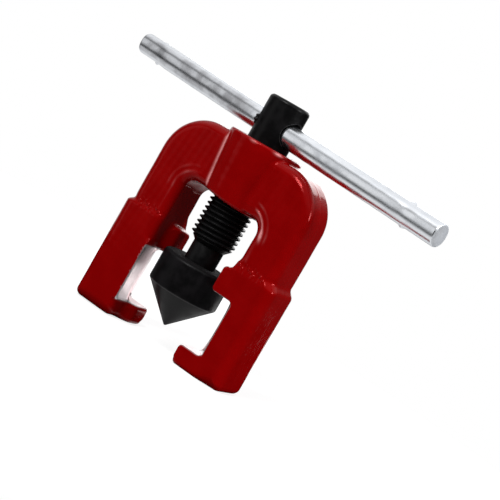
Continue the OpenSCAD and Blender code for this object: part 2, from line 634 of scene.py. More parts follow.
def end_finish(tree: Tree, surface: Node, height: Socket, depth_mm: float) -> None:
    """Gives a material its bump and its output.

    Args:
        tree: The material's tree.
        surface: Its Principled BSDF.
        height: The bump's height, from 0 to about 1.
        depth_mm: How deep a height of 1 is.
    """
    bump = tree.add("ShaderNodeBump", Height=height, Strength=1.0, Distance=depth_mm * MM)
    tree.link(bump.outputs[0], surface.inputs["Normal"])
    tree.link(surface.outputs[0], tree.add("ShaderNodeOutputMaterial").inputs[0])


@dataclass(frozen=True)
class RedEnamel:
    """Glossy red enamel over a cast body, with the milled faces left bare."""

    deep: Colour = (0.246, 0.0005, 0.0008, 1)
    bright: Colour = (0.272, 0.0007, 0.001, 1)
    thin: Colour = (0.28, 0.005, 0.007, 1)
    milled: Colour = (0.94, 0.985, 1, 1)
    # The pale pink of the highlights painted along the boss's crease, on its lip, on the window's
    # beads and in one spot
    painted_highlight_colour: Colour = (0.95, 0.38, 0.38, 1)
    tint: Colour = (1, 0.15, 0.15, 1)
    specular: float = 0.35
    gloss: float = 0.13
    gloss_spread: Pair = (-0.02, 0.04)
    bare_roughness: float = 0.19
    # How metallic a bare wall and a bare seat are
    bare_metal: Pair = (0.9, 0.1)
    grain: tuple[float, float, float] = (900.0, 150.0, 1.6)
    thinning: Pair = (0.35, 1.6)
    thinning_patches: float = 420.0
    thinning_share: float = 0.5
    # The heights of the grain between which a painted highlight line is faint and full
    highlight_break: Pair = (0.9, 1.5)
    highlight_least: float = 0.55
    milling_scale: float = 260.0
    milling_stretch: tuple[float, float, float] = (1, 14, 0.6)
    orange_peel_mm: float = 0.006

    def build(self, effects: Effects) -> Material:
        """Builds the material.

        Args:
            effects: The shared node groups.

        Returns:
            The material.
        """
        material, tree, place = start_finish("red_enamel")
        bare = tree.mark("bare")
        grain = effects.grained(tree, place, self.grain)
        edge = effects.worn(tree, place, self.thinning, self.thinning_patches)
        paint = tree.blend(grain["Mottle"], self.deep, self.bright)
        paint = tree.blend(tree.times(edge, self.thinning_share), paint, self.thin)
        # Painted highlights: the enamel turns pale pink where the yoke marks them, broken up by the
        # grain
        broken = tree.range(grain["Height"], self.highlight_break, (self.highlight_least, 1))
        paint = tree.blend(tree.times(tree.mark("painted_highlight"), broken), paint, self.painted_highlight_colour)
        drawn = tree.add("ShaderNodeMapping", Vector=place, Scale=self.milling_stretch)
        milling = tree.noise(drawn.outputs[0], self.milling_scale, 3.0)
        rough = tree.plus(self.gloss, tree.times(bare, self.bare_roughness))
        rough = tree.plus(rough, tree.range(grain["Mottle"], (0, 1), self.gloss_spread))
        metal = tree.times(bare, tree.range(tree.mark("seat"), (0, 1), self.bare_metal))
        surface = tree.add(
            "ShaderNodeBsdfPrincipled", Base_Color=tree.blend(bare, paint, self.milled),
            Roughness=rough, Metallic=metal, Specular_IOR_Level=self.specular,
            Specular_Tint=self.tint,
        )
        height = tree.plus(grain["Height"], tree.times(milling, bare))
        end_finish(tree, surface, height, self.orange_peel_mm)
        return material


@dataclass(frozen=True)
class BlackOxide:
    """Black oxide over turned steel, rubbed grey on its edges."""

    name: str
    dark: Colour = (0.0026, 0.0025, 0.0027, 1)
    light: Colour = (0.0056, 0.0053, 0.0058, 1)
    rubbed: Colour = (0.07, 0.07, 0.072, 1)
    specular: float = 0.12
    roughness: Pair = (0.31, 0.43)
    matt_roughness: float = 0.55
    grain: tuple[float, float, float] = (1500.0, 330.0, 1.0)
    grain_height: float = 0.3
    rings: float = 6500.0
    ring_patches: float = 240.0
    ring_share: float = 0.35
    rubbing: Pair = (0.7, 2.4)
    rubbing_patches: float = 700.0
    rubbed_share: float = 0.6
    marks_mm: float = 0.012

    def build(self, effects: Effects) -> Material:
        """Builds the material.

        Args:
            effects: The shared node groups.

        Returns:
            The material.
        """
        material, tree, place = start_finish(self.name)
        grain = effects.grained(tree, place, self.grain)
        rings = tree.use(effects.turning, Vector=place, Rings=self.rings, Break=self.ring_patches)
        edge = effects.worn(tree, place, self.rubbing, self.rubbing_patches)
        colour = tree.blend(grain["Mottle"], self.dark, self.light)
        colour = tree.blend(tree.times(rings["Shade"], self.ring_share), colour, self.light)
        colour = tree.blend(tree.times(edge, self.rubbed_share), colour, self.rubbed)
        rough = tree.range(grain["Mottle"], (0, 1), self.roughness)
        rough = tree.plus(rough, tree.times(tree.mark("matt"), self.matt_roughness))
        surface = tree.add(
            "ShaderNodeBsdfPrincipled", Base_Color=colour, Roughness=rough, Metallic=0.0,
            Specular_IOR_Level=self.specular,
        )
        height = tree.plus(rings["Height"], tree.times(grain["Height"], self.grain_height))
        end_finish(tree, surface, height, self.marks_mm)
        return material


@dataclass(frozen=True)
class BrightSteel:
    """Plated or polished steel, with faint streaks along one axis."""

    name: str
    clean: Colour = (0.90, 0.925, 0.965, 1)
    dull: Colour = (0.54, 0.57, 0.62, 1)
    # The darker grey given to the far half's front and back faces
    worn: Colour = (0.38, 0.38, 0.40, 1)
    roughness: float = 0.24
    patch_roughness: float = 0.1
    end_roughness: float = 0.34
    streaks: tuple[float, float, float] = (0.08, 1.0, 1.0)
    turn: tuple[float, float, float] = (0.0, 0.0, 0.0)
    grain: tuple[float, float, float] = (1900.0, 520.0, 0.8)
    grain_share: float = 0.3
    blotch_scale: float = 150.0
    blotch_roughness: float = 0.62
    patches: Pair = (0.42, 0.72)
    patch_share: float = 0.4
    far_grey_patches: Pair = (0.36, 0.6)
    far_grey_least: float = 0.45
    marks_mm: float = 0.006

    def build(self, effects: Effects) -> Material:
        """Builds the material.

        Args:
            effects: The shared node groups.

        Returns:
            The material.
        """
        material, tree, place = start_finish(self.name)
        level = tree.add(
            "ShaderNodeMapping", {"vector_type": "TEXTURE"}, Vector=place, Rotation=self.turn
        )
        drawn = tree.add("ShaderNodeMapping", Vector=level.outputs[0], Scale=self.streaks)
        grain = effects.grained(tree, drawn.outputs[0], self.grain)
        blotch = tree.noise(place, self.blotch_scale, 5.0, Roughness=self.blotch_roughness)
        patch = tree.range(blotch, self.patches)
        colour = tree.blend(tree.times(patch, self.patch_share), self.clean, self.dull)
        colour = tree.blend(tree.times(grain["Mottle"], self.grain_share), colour, self.dull)
        # The far half's front and back faces turn a darker grey, in patches
        broken = tree.range(blotch, self.far_grey_patches, (self.far_grey_least, 1))
        colour = tree.blend(tree.times(tree.mark("far_grey"), broken), colour, self.worn)
        rough = tree.plus(self.roughness, tree.times(patch, self.patch_roughness))
        rough = tree.plus(rough, tree.times(tree.mark("end"), self.end_roughness))
        surface = tree.add(
            "ShaderNodeBsdfPrincipled", Base_Color=colour, Roughness=rough, Metallic=1.0
        )
        end_finish(tree, surface, grain["Height"], self.marks_mm)
        return material


# Sub-assemblies


@dataclass
class Yoke:
    """The cast yoke: arch, arms, hooked legs and tapped boss, in millimetres.

    The yoke is the same after half a turn about the screw's axis. On the right the front half
    is hooked and the back half is plain, and on the left it is the other way round. Where
    something fades in, a pair says where it starts and where it is full.
    """

    leg_x: float
    boss_r: float
    boss_top: float
    # The outline and the step between arm and leg
    leg_flare: float = 1.65
    arm_y: float = 7.5
    leg_proud: float = 0.5
    boss_rise: float = 1.4
    arch_corner: float = 13.5
    sole_corner: float = 2.0
    step_middle: float = 32.9
    step_height: float = 3.0
    step_lean: float = 0.3
    step_waves: Pair = (0.07, 0.06)
    step_inward: Pair = (-3, -6)
    lump: float = 0.5
    lump_level: float = 0.3
    lump_above: float = 0.8
    # The window, the lugs and the slots
    window_x: float = 14.1
    window_top: float = 47.0
    window_corner: float = 4.5
    lug_x: float = 11.5
    lug_top: float = 31.5
    draft: float = 0.12
    lug_bottom: float = 23.5
    hook_top: float = 5.9
    slot_x: float = 19.3
    plain_corner: float = 3.4
    corner: float = 1.3
    channel_corner: float = 0.1
    half_turn_over: float = 6.0
    far_below: float = 40.0
    # The rounding of the outer edges, and where it changes over
    outer_edge: float = 3.0
    leg_edge: float = 3.4
    sole_edge: float = 1.2
    plain_sole_edge: float = 3.2
    edge_above_step: Pair = (0, 3)
    edge_from_side: Pair = (-10, -1)
    edge_above_sole: Pair = (1, 5)
    # The rounding of the holes' edges, and where it is soft
    hole_edge: float = 0.45
    soft_hole_edge: float = 2.1
    soft_above_lug: Pair = (1, 5)
    soft_from_x: Pair = (9.5, 13.5)
    soft_below_top: Pair = (-5, -2)
    soft_sole: float = 0.6
    soft_above_sole: Pair = (2.5, 1)
    sharp_above_hook: Pair = (-1, 0.5)
    sharp_above_lug: Pair = (3, 0)
    # The rolled rim round the window and the lines that the core left beside it
    rim_width: float = 2.4
    hooked_rim_width: float = 1.2
    rim_drop: float = 0.42
    arm_rim_share: float = 0.6
    rim_reach: float = 1.3
    arch_from: Pair = (38, 44)
    bead: float = 0.18
    back_bead_share: float = 0.6
    bead_widths: Pair = (0.33, 0.36)
    outer_bead: float = 1.75
    outer_bead_share: float = 0.5
    bead_above: Pair = (40, 44)
    bead_beside: Pair = (10, 12.5)
    arm_bead_share: float = 0.35
    arm_bead_above: Pair = (34, 36)
    bead_waver: float = 0.3
    parting: float = 0.03
    parting_width: float = 0.45
    parting_above: Pair = (0, 3)
    waves: tuple[float, float, float] = (0.07, 0.022, 0.009)
    # The boss and its bore
    boss_foot: float = 46.5
    boss_foot_r: float = 10.0
    boss_foot_tilt: float = 0.07
    boss_edge: float = 0.9
    boss_fillet: float = 0.6
    bore_r: float = 7.05
    bore_mouth: float = 0.6
    bore_edge: float = 0.15
    bore_below_foot: float = 3.0
    # Where the milling has left bare metal
    seat_slope: Pair = (0.6, 0.85)
    seat_room: Pair = (0.3, 0.5)
    seat_above_lug: float = 2.0
    wall_slope: Pair = (0.5, 0.75)
    front_slope: Pair = (0.5, 0.8)
    front_beside: Pair = (-0.6, -0.2)
    bare_top: float = 0.1
    bare_top_lean: float = 0.06
    bare_above_hook: Pair = (-0.5, -0.1)
    bare_below_top: Pair = (0.3, -0.3)
    bare_bore: Pair = (0.4, 0.1)
    # Where highlights are painted into the enamel as pale pink: beside the boss, on its lip, along
    # the beads and in one spot
    crease_width: float = 0.5
    crease_above: Pair = (0.5, 2)
    crease_below: Pair = (0.6, -0.6)
    bead_shares: Pair = (0.75, 0.25)
    flat_slope: float = 0.7
    highlight_spot_beside: float = 2.3
    highlight_spot_z: float = 43.4
    highlight_spot_lean: float = 0.25
    highlight_spot_width: float = 0.42
    highlight_spot_height: float = 1.2
    highlight_spot_strength: float = 1.5
    # Each painted highlight on the lip: its turn from the front in radians, its width and its
    # strength
    lip_highlights: tuple[tuple[float, float, float], ...] = ((0.86, 0.1, 1.0), (0.14, 0.08, 0.5))
    lip_below: float = 0.6
    lip_height: float = 0.3
    cell: float = 0.37

    def voids(self, x: Array, y: Array, z: Array) -> tuple[Array, Array]:
        """Gives the gap between the legs on the hooked half and on the plain half.

        Args:
            x: Distance from the screw's axis towards the leg.
            y: Distance towards the back.
            z: Height.

        Returns:
            Distances to the hooked half's gap and to the plain half's gap.
        """
        below, top, wide = -self.far_below, self.window_top, self.window_x
        high = (self.lug_x, top - self.window_corner)
        channel = round_box(x, z, (-self.lug_x, below), high, self.channel_corner)
        lug_top = self.lug_top + self.draft * (self.arm_y - np.abs(y))
        corner = np.where(z > (self.lug_top + top) / 2, self.window_corner, self.corner)
        upper = round_box(x, z, (-wide, lug_top), (wide, top), corner)
        seats = (-self.slot_x, self.hook_top), (self.slot_x, self.lug_bottom)
        slot = round_box(x, z, *seats, self.corner)
        hooked = round_join(round_join(channel, upper, self.corner), slot, self.corner)
        return hooked, round_box(x, z, (-wide, below), (wide, top), self.plain_corner)

    def unevenness(self, x: Array, y: Array, z: Array) -> Array:
        """Gives the slow waves that a sand mould leaves in a casting.

        Args:
            x: Distance towards the right.
            y: Distance towards the back.
            z: Height.

        Returns:
            How far the surface sinks at each point.
        """
        slow = np.sin(x / 5.3 + 0.7 * np.sin(z / 7.1)) * np.sin(z / 6.1 + 1.3) * np.cos(y / 4.7)
        quick = np.sin(x / 2.3 + z / 3.1) * np.sin(z / 2.9 - y / 2.1 + 0.6)
        fine = np.sin(1.5 * x + 1.1 * z) * np.sin(1.4 * z - 1.2 * x + 0.9 * y)
        return self.waves[0] * slow + self.waves[1] * quick + self.waves[2] * fine

    def boss(self, x: Array, y: Array, z: Array) -> Array:
        """Gives the tapered boss, whose foot is not quite level.

        Args:
            x: Distance towards the right.
            y: Distance towards the back.
            z: Height.

        Returns:
            Distances to the boss.
        """
        side = np.hypot(x, y) - self.boss_reach(z)
        foot = self.boss_foot - self.boss_foot_tilt * x - z
        return round_meet(round_meet(side, foot, self.boss_edge), z - self.boss_top, self.boss_edge)

    def boss_reach(self, z: Array) -> Array:
        """Gives the tapered boss's radius at a height."""
        share = (z - self.boss_foot) / (self.boss_top - self.boss_foot)
        return mix(self.boss_foot_r, self.boss_r, np.clip(share, 0, 1))

    def gap(self, x: Array, y: Array, z: Array) -> tuple[Array, Array]:
        """Gives the gap between the legs, hooked on one half and plain on the other.

        Args:
            x: Distance towards the right.
            y: Distance towards the back.
            z: Height.

        Returns:
            Distances to the gap, and how plain this half of the leg is, from 0 to 1.
        """
        over = (-self.half_turn_over / 2, self.half_turn_over / 2)
        plain_share = rise(y * np.where(x < 0, -1.0, 1.0), over)
        hooked, plain = self.voids(np.abs(x), y, z)
        return mix(hooked, plain, plain_share), plain_share

    def corner_beads(self, x: Array, z: Array, gap: Array) -> Array:
        """Gives the raised lines that the core left round the window's upper corners.

        Args:
            x: Distance towards the right.
            z: Height.
            gap: Distances to the window.

        Returns:
            How high the lines stand, from 0 to 1.
        """
        near = hump(gap - self.rim_width, self.bead_widths[0])
        far = hump(gap - self.outer_bead * self.rim_width, self.bead_widths[1])
        place = rise(z, self.bead_above) * rise(np.abs(x), self.bead_beside)
        low = self.arm_bead_share * rise(z, self.arm_bead_above) * (np.abs(x) > self.window_x)
        waver = 1 + self.bead_waver * (np.sin(0.9 * x + 0.7 * z) - 1)
        return waver * (near * np.maximum(place, low) + self.outer_bead_share * far * place)

    def step(self, x: Array, y: Array) -> tuple[Array, Array, Array]:
        """Gives the step between arm and leg, which wanders a little where it isn't at a side.

        Args:
            x: Distance towards the right.
            y: Distance towards the back.

        Returns:
            The step's middle height, its own height, and how far in from a side the points are.
        """
        inward = rise(np.abs(x), self.step_inward, self.leg_x)
        wander = self.step_waves[0] * np.sin(2.3 * x + y) + self.step_waves[1] * np.sin(4.9 * x + 1)
        tall = self.step_height * (1 + self.step_lean * x / self.leg_x)
        return self.step_middle + wander * inward, tall, inward

    def hole_rounding(self, x: Array, z: Array, plain_share: Array) -> Array:
        """Gives the radius of the holes' edges, sharp at the slots and soft round the window.

        Args:
            x: Distance towards the right.
            z: Height.
            plain_share: How plain this half of the leg is.

        Returns:
            The radius at each point.
        """
        slot = rise(z, self.sharp_above_hook, self.hook_top)
        slot = slot * rise(z, self.sharp_above_lug, self.lug_bottom)
        crown = rise(z, self.soft_below_top, self.window_top)
        beside = mix(1, rise(np.abs(x), self.soft_from_x), crown)
        window = rise(z, self.soft_above_lug, self.lug_top) * beside
        soft = np.maximum(window, plain_share * (1 - slot))
        soft = np.maximum(soft, self.soft_sole * rise(z, self.soft_above_sole))
        return mix(self.hole_edge, self.soft_hole_edge, soft)

    def body(self, x: Array, y: Array, z: Array) -> Array:
        """Gives the arch, arms and legs, without the boss.

        Args:
            x: Distance towards the right.
            y: Distance towards the back.
            z: Height.

        Returns:
            Distances to the body.
        """
        middle, tall, inward = self.step(x, y)
        step = rise(z, (tall / 2, -tall / 2), middle)
        arm_x, arch_top = self.leg_x - self.leg_flare, self.boss_top - self.boss_rise
        corner = np.where(z > arch_top / 2, self.arch_corner, self.sole_corner)
        out_x = np.abs(x) - self.leg_flare * step
        outline = round_box(out_x, z, (-arm_x, 0), (arm_x, arch_top), corner)
        parting = hump(y, self.parting_width) * rise(z, self.parting_above)
        outline = outline - self.parting * parting
        gap, plain_share = self.gap(x, y, z)
        arched = rise(z, self.arch_from)
        narrow = mix(self.hooked_rim_width, self.rim_width, np.maximum(plain_share, arched))
        high = rise(z, self.edge_above_step, middle)
        rim = high * mix(self.arm_rim_share, 1.0, arched)
        rim = rim * np.clip(1 - gap / narrow, 0, self.rim_reach)
        shelf = np.abs(y) - self.leg_proud * step - self.arm_y + self.rim_drop * rim
        beads = self.corner_beads(x, z, gap) * np.where(x * y < 0, 1, self.back_bead_share)
        lumps = np.sin(2.9 * x + 0.8) * np.sin(1.3 * x - 2.6 * z) - self.lump_level
        lumps = np.clip(lumps, 0, 1) * hump(z - middle - self.lump_above, self.lump_above)
        shelf = shelf - self.bead * beads - self.lump * lumps * inward
        sole = mix(self.sole_edge, self.plain_sole_edge, plain_share)
        side = mix(self.leg_edge, self.outer_edge, high)
        low = mix(sole, side, rise(np.abs(x), self.edge_from_side, self.leg_x))
        block = round_meet(outline, shelf, mix(low, side, rise(z, self.edge_above_sole)))
        return round_meet(block, -gap, self.hole_rounding(x, z, plain_share))

    def field(self, x: Array, y: Array, z: Array) -> Array:
        """Gives the whole casting, bored and countersunk.

        Args:
            x: Distance towards the right.
            y: Distance towards the back.
            z: Height.

        Returns:
            Distances to the casting.
        """
        solid = round_join(self.body(x, y, z), self.boss(x, y, z), self.boss_fillet)
        solid = solid + self.unevenness(x, y, z)
        from_ends = np.minimum(self.boss_top - z, z - self.boss_foot + self.boss_foot_tilt * x)
        mouth = self.bore_r + np.maximum(self.bore_mouth - from_ends, 0)
        bored = z > self.boss_foot - self.bore_below_foot
        bore = np.where(bored, mouth - np.hypot(x, y), DEEP)
        return round_meet(solid, bore, self.bore_edge)

    def seat_share(self, skin: Skin) -> Array:
        """Tells where the slots' level seats are.

        Args:
            skin: The casting's skin.

        Returns:
            Shares from 0 to 1.
        """
        x, _, z = skin.points.T
        level = rise(np.abs(skin.normals[:, 2]), self.seat_slope)
        inner, outer = self.lug_x + self.seat_room[0], self.slot_x + self.seat_room[1]
        across = (np.abs(x) < outer) * (np.abs(x) > inner)
        return level * across * (z < self.lug_bottom + self.seat_above_lug)

    def bare_share(self, skin: Skin) -> Array:
        """Tells where the milled slots and the tapped bore are bare metal.

        Args:
            skin: The casting's skin.

        Returns:
            Shares from 0 to 1.
        """
        x, y, z = skin.points.T
        inwards = -skin.normals[:, 0] * np.sign(x)
        lean = self.bare_top_lean * (self.arm_y - np.abs(y)) * (y * np.sign(x) > 0)
        top = self.lug_bottom + self.bare_top + lean
        wall = rise(inwards, self.wall_slope) * (np.abs(x) > self.window_x - 1)
        ahead = rise(np.abs(skin.normals[:, 1]), self.front_slope)
        ahead = ahead * (np.abs(y) < self.half_turn_over)
        ahead = ahead * rise(np.abs(x), self.front_beside, self.window_x)
        height = rise(z, self.bare_above_hook, self.hook_top) * rise(z, self.bare_below_top, top)
        slot = np.maximum(np.maximum(wall, ahead), self.seat_share(skin)) * height
        bore = rise(np.hypot(x, y), self.bare_bore, self.bore_r) * (z > self.boss_foot - 1)
        return np.maximum(slot, bore)

    def painted_highlight_share(self, skin: Skin) -> Array:
        """Tells where highlights are painted into the enamel: beside the boss, on its lip, on the
        beads, in one spot.

        Args:
            skin: The casting's skin.

        Returns:
            Shares from 0 to 1.
        """
        x, y, z = skin.points.T
        flat = np.abs(skin.normals[:, 1]) > self.flat_slope
        crease_x = np.sqrt(self.boss_reach(z) ** 2 - self.arm_y**2)
        away = np.hypot(np.abs(x) - crease_x, np.abs(y) - self.arm_y)
        ends = rise(z, self.crease_above, self.boss_foot)
        ends = ends * rise(z, self.crease_below, self.boss_top - self.boss_rise)
        crease = hump(away, self.crease_width) * ends * (x * y > 0)
        beads = self.corner_beads(x, z, self.gap(x, y, z)[0]) * flat
        highlight_spot_x = self.window_x + self.highlight_spot_beside - self.highlight_spot_lean * (z - self.highlight_spot_z)
        highlight_spot = hump(np.abs(x) - highlight_spot_x, self.highlight_spot_width) * hump(z - self.highlight_spot_z, self.highlight_spot_height)
        crease = np.maximum(crease, self.highlight_spot_strength * highlight_spot * (x * y < 0) * flat)
        turned = np.arctan2(np.abs(x), -y * np.sign(x))
        lip = sum(strength * hump(turned - at, wide) for at, wide, strength in self.lip_highlights)
        lip = lip * hump(z - self.boss_top + self.lip_below, self.lip_height)
        lip = lip * (np.hypot(x, y) > self.boss_r - 1)
        return np.clip(crease + lip + np.where(x * y < 0, *self.bead_shares) * beads**2, 0, 1)

    def build(self, material: Material) -> Object:
        """Makes the casting.

        Args:
            material: Its finish.

        Returns:
            The finished piece.
        """
        room = 1.0
        low = (-self.leg_x - room, -self.boss_r - room, -room)
        high = (self.leg_x + room, self.boss_r + room, self.boss_top + room)
        skin = SurfaceNet(self.field, low, high, self.cell).skin()
        marks = {
            # The last mark says where highlights are painted into the enamel's colour
            "bare": self.bare_share(skin), "seat": self.seat_share(skin),
            "bend": bend_of(skin), "painted_highlight": self.painted_highlight_share(skin),
        }
        return object_from("yoke_casting", [skin], material, marks)


@dataclass
class ThreadTree:
    """A geometry node tree that winds a screw thread up the Z axis, closed at both ends."""

    around: int = 96
    rows_per_turn: int = 16
    # How steep the flanks are, and how far they sink below the root before it cuts them off
    flank: float = 1.7
    root_cut: float = 0.26
    sizes: tuple[str, ...] = (
        "Crest Radius", "Root Radius", "Pitch", "Start", "End", "Start Radius", "End Radius"
    )

    def start(self) -> tuple[Tree, Any, Any]:
        """Starts the tree, with its sizes as named inputs in metres.

        Returns:
            The tree, its inputs' sockets and its outputs' sockets.
        """
        group = bpy.data.node_groups.new("screw_thread", "GeometryNodeTree")
        kinds = {"Geometry": "Geometry", **dict.fromkeys(self.sizes, "Float")}
        for label, kind in {**kinds, "Rows": "Int", "Material": "Material"}.items():
            group.interface.new_socket(label, in_out="INPUT", socket_type=f"NodeSocket{kind}")
        group.interface.new_socket("Geometry", in_out="OUTPUT", socket_type="NodeSocketGeometry")
        tree = Tree(group)
        return tree, tree.add("NodeGroupInput").outputs, tree.add("NodeGroupOutput").inputs

    def build(self) -> Group:
        """Builds the tree.

        Returns:
            The node tree.
        """
        tree, size, made = self.start()
        sheet = tree.add("GeometryNodeMeshGrid", i0=1.0, i1=1.0, i2=self.around + 1)
        tree.link(size["Rows"], sheet.inputs[3])
        x, y, _ = tree.split(tree.add("GeometryNodeInputPosition").outputs[0])
        turn, share = tree.plus(x, 0.5), tree.plus(y, 0.5)
        tall = tree.minus(size["End"], size["Start"])
        height = tree.times_plus(share, tall, size["Start"])
        turns_up = tree.math("DIVIDE", height, size["Pitch"])
        wound = tree.math("FRACT", tree.minus(turns_up, turn))
        ridge = tree.minus(1.0, tree.absolute(tree.times_plus(wound, 2.0, -1.0)))
        ridge = tree.times_plus(ridge, self.flank, -self.root_cut, clamp=True)
        depth = tree.minus(size["Crest Radius"], size["Root Radius"])
        thread = tree.times_plus(ridge, depth, size["Root Radius"])
        from_start = tree.plus(tree.minus(height, size["Start"]), size["Start Radius"])
        from_end = tree.plus(tree.minus(size["End"], height), size["End Radius"])
        thread = tree.least(thread, tree.least(from_start, from_end))
        at_end = tree.math("COMPARE", tree.absolute(y), 0.5, 0.0001)
        radius = tree.times(thread, tree.minus(1.0, at_end))
        angle = tree.times(turn, 2 * math.pi)
        place = tree.add(
            "ShaderNodeCombineXYZ",
            i0=tree.times(radius, tree.math("COSINE", angle)),
            i1=tree.times(radius, tree.math("SINE", angle)),
            i2=height,
        )
        shape = sheet
        for kind, values in (
            ("SetPosition", {"Position": place.outputs[0]}),
            ("MergeByDistance", {"Distance": 1e-7}),
            ("SetShadeSmooth", {}),
            ("RealizeInstances", {}),
            ("SetMaterial", {"Material": size["Material"]}),
        ):
            shape = tree.add(f"GeometryNode{kind}", i0=shape.outputs[0], **values)
        tree.link(shape.outputs[0], made[0])
        return tree.tree


def grown_mesh(name: str, tree: Group, values: dict[str, Any]) -> Mesh:
    """Runs a geometry node tree once and keeps its result as a plain mesh.

    Args:
        name: The mesh's name.
        tree: The geometry node tree.
        values: Its inputs, by name.

    Returns:
        The plain mesh.
    """
    holder = scene_object(f"{name}_holder", bpy.data.meshes.new(f"{name}_holder"))
    modifier = holder.modifiers.new(name, "NODES")
    modifier.node_group = tree
    sockets = {s.name: s.identifier for s in tree.interface.items_tree if s.in_out == "INPUT"}
    for label, value in values.items():
        modifier[sockets[label]] = value
    ready = holder.evaluated_get(bpy.context.evaluated_depsgraph_get())
    mesh = bpy.data.meshes.new_from_object(ready)
    holder.modifiers.clear()
    bpy.data.objects.remove(holder)
    mesh.name = name
    return mesh


@dataclass(frozen=True)
class Race:
    """The hollow that a ball or a wire ring runs in, at a height and a distance from the axis."""

    middle_r: float
    middle_z: float
    radius: float
    steps: int = 12

    def outline(self, start: float, end: float) -> list[Pair]:
        """Gives the hollow's outline between two angles, which are measured up from its side."""
        turns = [start + (end - start) * k / self.steps for k in range(self.steps + 1)]
        return [(self.middle_r + self.radius * math.cos(t),
                 self.middle_z + self.radius * math.sin(t)) for t in turns]

    def arc(self, top_z: float) -> list[Pair]:
        """Gives the outline of a ball's seat, from its pole down to a level end face."""
        return self.outline(math.pi / 2, math.asin((top_z - self.middle_z) / self.radius))

    def dent(self, wall_r: float) -> list[Pair]:
        """Gives the outline of a ring's groove in an outer wall, from its low to its high lip."""
        end = math.acos((wall_r - self.middle_r) / self.radius)
        return self.outline(-end, end - 2 * math.pi)

    def field(self, reach: Array, z: Array) -> Array:
        """Gives the distances to the whole hollow."""
        return np.hypot(reach - self.middle_r, z - self.middle_z) - self.radius


@dataclass
class FeedScrew:
    """The black feed screw: drilled head, wound thread, neck and hidden pilot."""

    low_z: float
    top_z: float
    bar_z: float
    bar_turn: float
    crest_r: float
    ball: Race
    groove: Race
    root_r: float = 5.95
    pitch: float = 1.5
    shank_r: float = 6.4
    neck_r: float = 4.82
    neck_edge: float = 0.4
    thread_bevel: float = 0.4
    thread_low: float = 32.4
    thread_top: float = 65.5
    # How far the neck runs up into the thread, and the thread up into the head
    neck_run: float = 0.8
    thread_run: float = 0.6
    head_chamfer: float = 0.75
    head_edge: float = 0.25
    foot_edge: float = 0.4
    hole_r: float = 3.9
    hole_mouth: float = 0.35
    hole_flare: float = 0.6
    hole_edge: float = 0.15
    # The burr at the hole's far mouth: its place along and across the hole, and its shape
    burr_place: Pair = (-4.9, -4.3)
    burr_stretch: Pair = (1.1, 1.9)
    burr_r: float = 0.75
    burr_wave: float = 0.14
    burr_fillet: float = 0.3
    cell: float = 0.21

    def head(self, x: Array, y: Array, z: Array) -> Array:
        """Gives the drilled head, with a burr at the hole's far mouth.

        Args:
            x: Distance towards the right.
            y: Distance towards the back.
            z: Height.

        Returns:
            Distances to the head.
        """
        side = np.hypot(x, y) - self.shank_r
        top, up = z - self.top_z, z - self.bar_z
        solid = round_meet(side, top, self.head_edge)
        solid = round_meet(solid, self.thread_top - z, self.foot_edge)
        slope = (side + top + self.head_chamfer) / math.sqrt(2)
        solid = round_meet(solid, slope, self.head_edge)
        along = x * math.cos(self.bar_turn) + y * math.sin(self.bar_turn)
        across = y * math.cos(self.bar_turn) - x * math.sin(self.bar_turn)
        long = (along - self.burr_place[0]) * self.burr_stretch[0]
        wide = across - self.burr_place[1]
        burr = np.sqrt(long**2 + wide**2 + (up / self.burr_stretch[1]) ** 2)
        burr = burr - self.burr_r + self.burr_wave * np.sin(z * 5.1)
        solid = round_join(solid, burr, self.burr_fillet)
        mouth = np.maximum(self.hole_mouth - self.shank_r + np.abs(along), 0)
        hole = self.hole_r + np.minimum(mouth, self.hole_flare) - np.hypot(across, up)
        return round_meet(solid, hole, self.hole_edge)

    def neck(self) -> Skin:
        """Gives the neck and the pilot, seated on the ball and grooved for the ring.

        Returns:
            The closed skin.
        """
        top = self.thread_low + self.neck_run
        return revolved([
            *self.ball.arc(self.low_z), (self.neck_r - self.neck_edge, self.low_z),
            (self.neck_r, self.low_z + self.neck_edge), *self.groove.dent(self.neck_r),
            (self.neck_r, top), (0, top),
        ])

    def thread(self, material: Material) -> Skin:
        """Winds the thread with its node tree.

        Args:
            material: The screw's finish.

        Returns:
            The closed skin.
        """
        winding = ThreadTree()
        end = self.thread_top + self.thread_run
        ends_r = self.neck_r, self.shank_r - self.thread_bevel
        sizes = self.crest_r, self.root_r, self.pitch, self.thread_low, end, *ends_r
        values = {label: size * MM for label, size in zip(winding.sizes, sizes)}
        rows = int((end - self.thread_low) / self.pitch * winding.rows_per_turn)
        tree = winding.build()
        return skin_from(grown_mesh("thread", tree, {**values, "Rows": rows, "Material": material}))

    def build(self, material: Material) -> Object:
        """Makes the screw as one piece of three closed shells.

        Args:
            material: Its finish.

        Returns:
            The finished piece.
        """
        room, burr_room = 1.0, 1.6
        reach = self.shank_r + burr_room
        low, high = (-reach, -reach, self.thread_top - room), (reach, reach, self.top_z + room)
        head = SurfaceNet(self.head, low, high, self.cell).skin()
        shells = [head, self.neck(), self.thread(material)]
        bend = np.concatenate([bend_of(shell) for shell in shells])
        marks = {"bend": bend, "matt": np.zeros_like(bend)}
        return object_from("feed_screw_turned", shells, material, marks)


